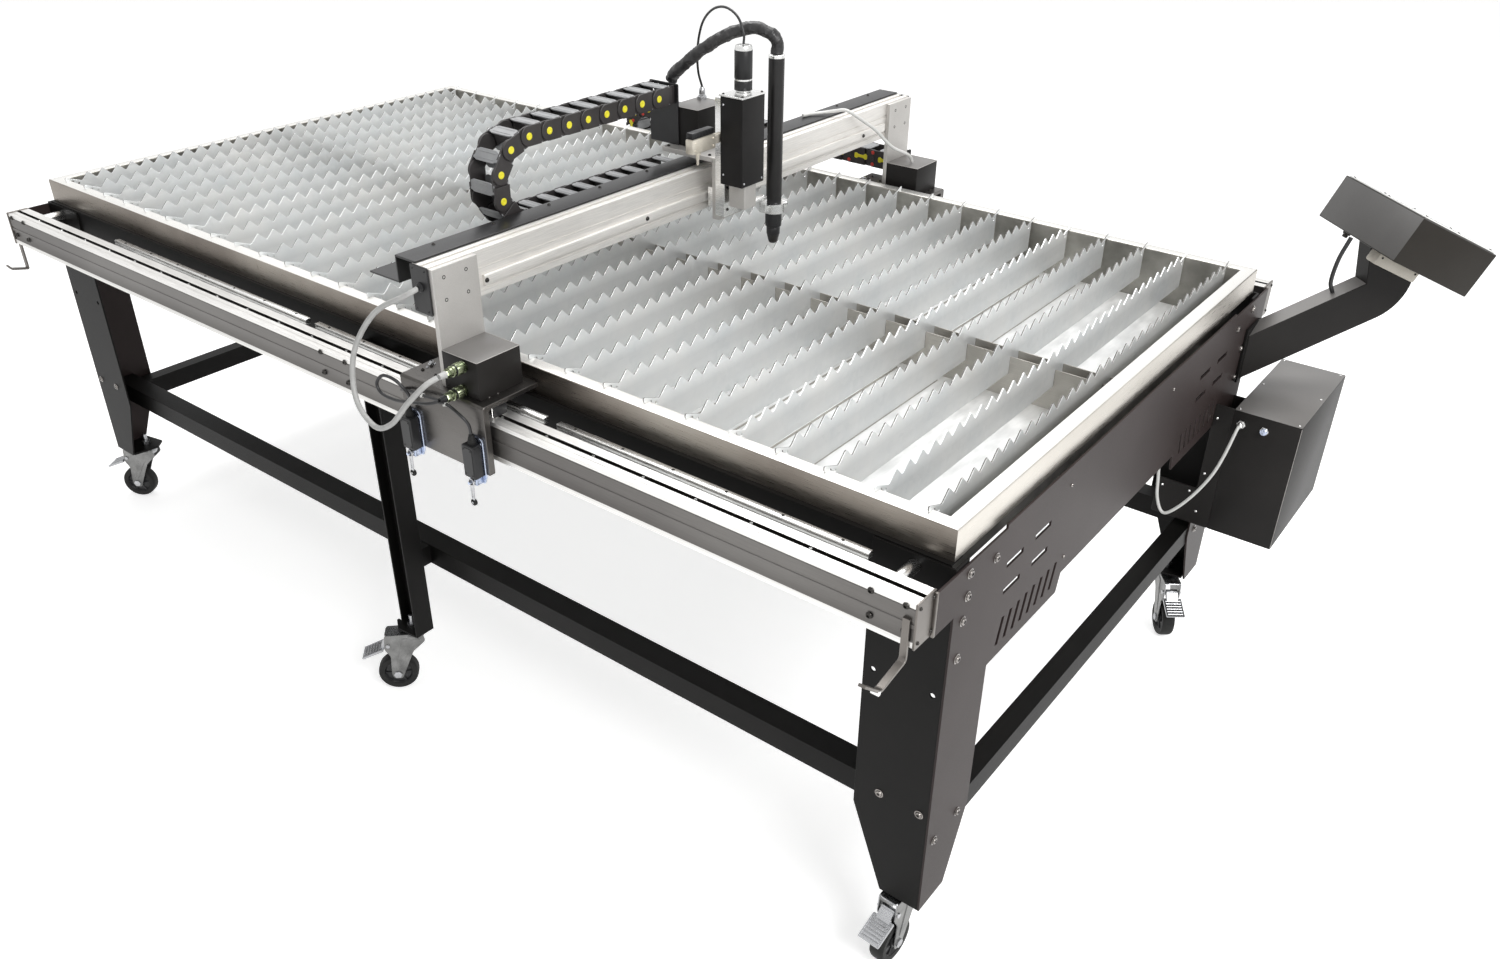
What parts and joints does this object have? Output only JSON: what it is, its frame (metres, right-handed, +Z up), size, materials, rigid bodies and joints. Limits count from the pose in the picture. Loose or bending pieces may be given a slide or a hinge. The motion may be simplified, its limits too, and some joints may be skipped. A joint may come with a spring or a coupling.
{
  "type": "cnc plasma table",
  "caption": "Plasma cutting table with a slatted water pan, gantry on side rails, cross carriage with torch, drag chains, control box and tilted console on casters.",
  "frame": {"origin": "bottom centre of the bounding box, on the floor", "axes": "+X along the table to the console end, +Y across to the far long side, +Z up"},
  "size_m": [3.0836, 1.9339, 1.4545],
  "materials": {
    "stainless": "brushed stainless sheet",
    "galvanised": "galvanised sheet",
    "black_powder_coat": "satin powder coat",
    "console_paint": "satin powder coat with a bright screen frame",
    "extrusion": "anodised extrusion",
    "plate": "anodised machined plate",
    "rack_steel": "bright steel bar",
    "zinc": "bright zinc plate",
    "bolt_black": "blackened button heads",
    "wheel_rubber": "matt black tread",
    "chain_plastic": "moulded black plastic",
    "torch_plastic": "black moulded sleeve",
    "motor_case": "black case with bright ends",
    "connector_metal": "plated connector shells",
    "drain_plastic": "moulded fitting",
    "cord_jacket": "smooth cable jacket",
    "lead_sleeve": "braided sleeve"
  },
  "bodies": {
    "table": {"water_pan": "stainless", "pan_drain": "drain_plastic", "slat_divider": "stainless", "slats": "galvanised", "side_beams": "black_powder_coat", "cross_members": "black_powder_coat", "end_panels": "black_powder_coat", "corner_legs": "black_powder_coat", "middle_legs": "black_powder_coat", "stretchers": "black_powder_coat", "caster_mounts": "zinc", "guide_rails": "extrusion", "gear_racks": "rack_steel", "rail_brackets": "plate", "frame_bolts": "bolt_black", "control_box": "black_powder_coat", "console_arm": "black_powder_coat", "console_box": "console_paint", "x_chain_lower": "chain_plastic", "table_cords": "cord_jacket"},
    "gantry": {"gantry_beam": "extrusion", "gantry_end_plates": "plate", "rail_carriages": "plate", "gantry_motor_boxes": "black_powder_coat", "motor_connectors": "connector_metal", "limit_switches": "zinc", "y_chain_lower": "chain_plastic", "x_chain_upper": "chain_plastic", "gantry_cords": "cord_jacket"},
    "carriage": {"carriage_plate": "plate", "carriage_motor_box": "black_powder_coat", "z_housing": "black_powder_coat", "z_motor": "motor_case", "y_chain_upper": "chain_plastic", "carriage_cord": "cord_jacket"},
    "torch_slide": {"torch_holder": "plate", "torch": "torch_plastic", "torch_lead": "lead_sleeve"},
    "switch_lever_left": {"switch_lever_left": "zinc"},
    "switch_lever_right": {"switch_lever_right": "zinc"},
    "y_chain_bend": {"y_chain_bend": "chain_plastic"},
    "x_chain_bend": {"x_chain_bend": "chain_plastic"},
    "caster_1": {"caster_1_fork": "zinc"},
    "caster_1_wheel": {"caster_1_wheel": "wheel_rubber"},
    "caster_1_pedal": {"caster_1_pedal": "zinc"},
    "caster_2": {"caster_2_fork": "zinc"},
    "caster_2_wheel": {"caster_2_wheel": "wheel_rubber"},
    "caster_2_pedal": {"caster_2_pedal": "zinc"},
    "caster_3": {"caster_3_fork": "zinc"},
    "caster_3_wheel": {"caster_3_wheel": "wheel_rubber"},
    "caster_3_pedal": {"caster_3_pedal": "zinc"},
    "caster_4": {"caster_4_fork": "zinc"},
    "caster_4_wheel": {"caster_4_wheel": "wheel_rubber"},
    "caster_4_pedal": {"caster_4_pedal": "zinc"},
    "caster_5": {"caster_5_fork": "zinc"},
    "caster_5_wheel": {"caster_5_wheel": "wheel_rubber"},
    "caster_5_pedal": {"caster_5_pedal": "zinc"},
    "caster_6": {"caster_6_fork": "zinc"},
    "caster_6_wheel": {"caster_6_wheel": "wheel_rubber"},
    "caster_6_pedal": {"caster_6_pedal": "zinc"}
  },
  "joints": [
    {"name": "gantry_travel", "type": "slide", "parent": "table", "child": "gantry", "axis": [1, 0, 0], "range_m": [-1.4, 0.8], "deforming": ["x_chain_upper", "x_chain_lower"]},
    {"name": "x_chain_travel", "type": "slide", "parent": "table", "child": "x_chain_bend", "axis": [1, 0, 0], "range_m": [-0.7, 0.4]},
    {"name": "carriage_travel", "type": "slide", "parent": "gantry", "child": "carriage", "axis": [0, 1, 0], "range_m": [-0.615, 0.45], "deforming": ["y_chain_upper", "y_chain_lower"]},
    {"name": "y_chain_travel", "type": "slide", "parent": "gantry", "child": "y_chain_bend", "axis": [0, 1, 0], "range_m": [-0.3075, 0.225]},
    {"name": "torch_height", "type": "slide", "parent": "carriage", "child": "torch_slide", "axis": [0, 0, 1], "range_m": [-0.01, 0.04], "deforming": ["torch_lead"]},
    {"name": "switch_left_lever", "type": "hinge", "parent": "gantry", "child": "switch_lever_left", "pos_m": [0.09494, -0.89395, 0.765], "axis": [0, 1, 0], "range_deg": [-20, 20], "stiffness_Nm_per_rad": 0.05},
    {"name": "switch_right_lever", "type": "hinge", "parent": "gantry", "child": "switch_lever_right", "pos_m": [0.26194, -0.89395, 0.765], "axis": [0, 1, 0], "range_deg": [-20, 20], "stiffness_Nm_per_rad": 0.05},
    {"name": "caster_1_swivel", "type": "hinge", "parent": "table", "child": "caster_1", "pos_m": [1.09394, -0.69495, 0.15], "axis": [0, 0, 1], "continuous": true},
    {"name": "caster_1_roll", "type": "hinge", "parent": "caster_1", "child": "caster_1_wheel", "pos_m": [1.09153, -0.74089, 0.045], "axis": [0.9986, -0.0523, 0], "continuous": true},
    {"name": "caster_1_brake", "type": "hinge", "parent": "caster_1", "child": "caster_1_pedal", "pos_m": [1.09091, -0.75287, 0.128], "axis": [0.9986, -0.0523, 0], "range_deg": [0, 8]},
    {"name": "caster_2_swivel", "type": "hinge", "parent": "table", "child": "caster_2", "pos_m": [-0.16806, -0.77295, 0.15], "axis": [0, 0, 1], "continuous": true},
    {"name": "caster_2_roll", "type": "hinge", "parent": "caster_2", "child": "caster_2_wheel", "pos_m": [-0.20059, -0.80548, 0.045], "axis": [0.7071, -0.7071, 0], "continuous": true},
    {"name": "caster_2_brake", "type": "hinge", "parent": "caster_2", "child": "caster_2_pedal", "pos_m": [-0.20907, -0.81396, 0.128], "axis": [0.7071, -0.7071, 0], "range_deg": [0, 8]},
    {"name": "caster_3_swivel", "type": "hinge", "parent": "table", "child": "caster_3", "pos_m": [-1.43006, -0.69495, 0.15], "axis": [0, 0, 1], "continuous": true},
    {"name": "caster_3_roll", "type": "hinge", "parent": "caster_3", "child": "caster_3_wheel", "pos_m": [-1.4682, -0.72067, 0.045], "axis": [0.5592, -0.829, 0], "continuous": true},
    {"name": "caster_3_brake", "type": "hinge", "parent": "caster_3", "child": "caster_3_pedal", "pos_m": [-1.47814, -0.72738, 0.128], "axis": [0.5592, -0.829, 0], "range_deg": [0, 8]},
    {"name": "caster_4_swivel", "type": "hinge", "parent": "table", "child": "caster_4", "pos_m": [1.09394, 0.52905, 0.15], "axis": [0, 0, 1], "continuous": true},
    {"name": "caster_4_roll", "type": "hinge", "parent": "caster_4", "child": "caster_4_wheel", "pos_m": [1.12162, 0.49231, 0.045], "axis": [0.7986, 0.6018, 0], "continuous": true},
    {"name": "caster_4_brake", "type": "hinge", "parent": "caster_4", "child": "caster_4_pedal", "pos_m": [1.12885, 0.48273, 0.128], "axis": [0.7986, 0.6018, 0], "range_deg": [0, 8]},
    {"name": "caster_5_swivel", "type": "hinge", "parent": "table", "child": "caster_5", "pos_m": [-0.16806, 0.60705, 0.15], "axis": [0, 0, 1], "continuous": true},
    {"name": "caster_5_roll", "type": "hinge", "parent": "caster_5", "child": "caster_5_wheel", "pos_m": [-0.14506, 0.64689, 0.045], "axis": [-0.866, 0.5, 0], "continuous": true},
    {"name": "caster_5_brake", "type": "hinge", "parent": "caster_5", "child": "caster_5_pedal", "pos_m": [-0.13906, 0.65728, 0.128], "axis": [-0.866, 0.5, 0], "range_deg": [0, 8]},
    {"name": "caster_6_swivel", "type": "hinge", "parent": "table", "child": "caster_6", "pos_m": [-1.43006, 0.52905, 0.15], "axis": [0, 0, 1], "continuous": true},
    {"name": "caster_6_roll", "type": "hinge", "parent": "caster_6", "child": "caster_6_wheel", "pos_m": [-1.45306, 0.56889, 0.045], "axis": [-0.866, -0.5, 0], "continuous": true},
    {"name": "caster_6_brake", "type": "hinge", "parent": "caster_6", "child": "caster_6_pedal", "pos_m": [-1.45906, 0.57928, 0.128], "axis": [-0.866, -0.5, 0], "range_deg": [0, 8]}
  ],
  "couplings": [
    {"joint": "x_chain_travel", "follows": "gantry_travel", "ratio": 0.5},
    {"joint": "y_chain_travel", "follows": "carriage_travel", "ratio": 0.5}
  ]
}
